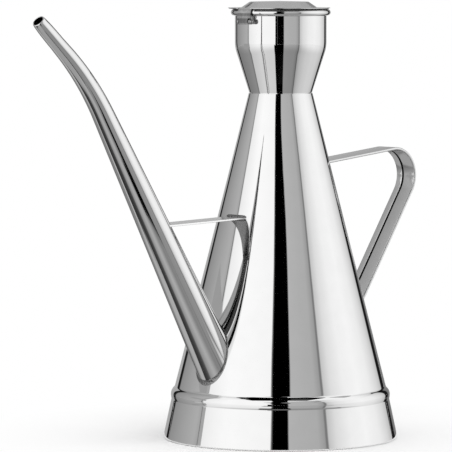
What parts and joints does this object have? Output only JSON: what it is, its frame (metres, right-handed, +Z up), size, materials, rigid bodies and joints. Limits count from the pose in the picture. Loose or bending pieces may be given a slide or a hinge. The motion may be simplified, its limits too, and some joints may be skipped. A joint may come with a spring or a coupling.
{
  "type": "oil cruet",
  "caption": "Polished steel oil cruet: a cone-shaped vessel with a flared foot, funnel neck, hinged lid, long bent spout with a brace, and a folded strap handle.",
  "frame": {"origin": "on the axis of the body, at the surface the cruet stands on", "axes": "+Z up along the body's axis, -X towards the spout, +X towards the handle, Y along the lid's hinge pin"},
  "size_m": [0.2288, 0.1058, 0.1973],
  "materials": {
    "polished_steel": "mirror-polished stainless steel",
    "plain_steel": "plain stainless steel with a dull sheen"
  },
  "bodies": {
    "vessel": {"foot_ring": "polished_steel", "base_plate": "plain_steel", "body_cone": "polished_steel", "neck_funnel": "polished_steel", "hinge_ear_near": "plain_steel", "hinge_ear_far": "plain_steel", "hinge_pin": "plain_steel", "spout": "polished_steel", "spout_brace": "polished_steel", "handle_strap": "polished_steel"},
    "cover": {"lid": "polished_steel"}
  },
  "joints": [
    {"name": "lid_hinge", "type": "hinge", "parent": "vessel", "child": "cover", "pos_m": [-0.02245, 0, 0.1882], "axis": [0, -1, 0], "range_deg": [0, 190]}
  ]
}
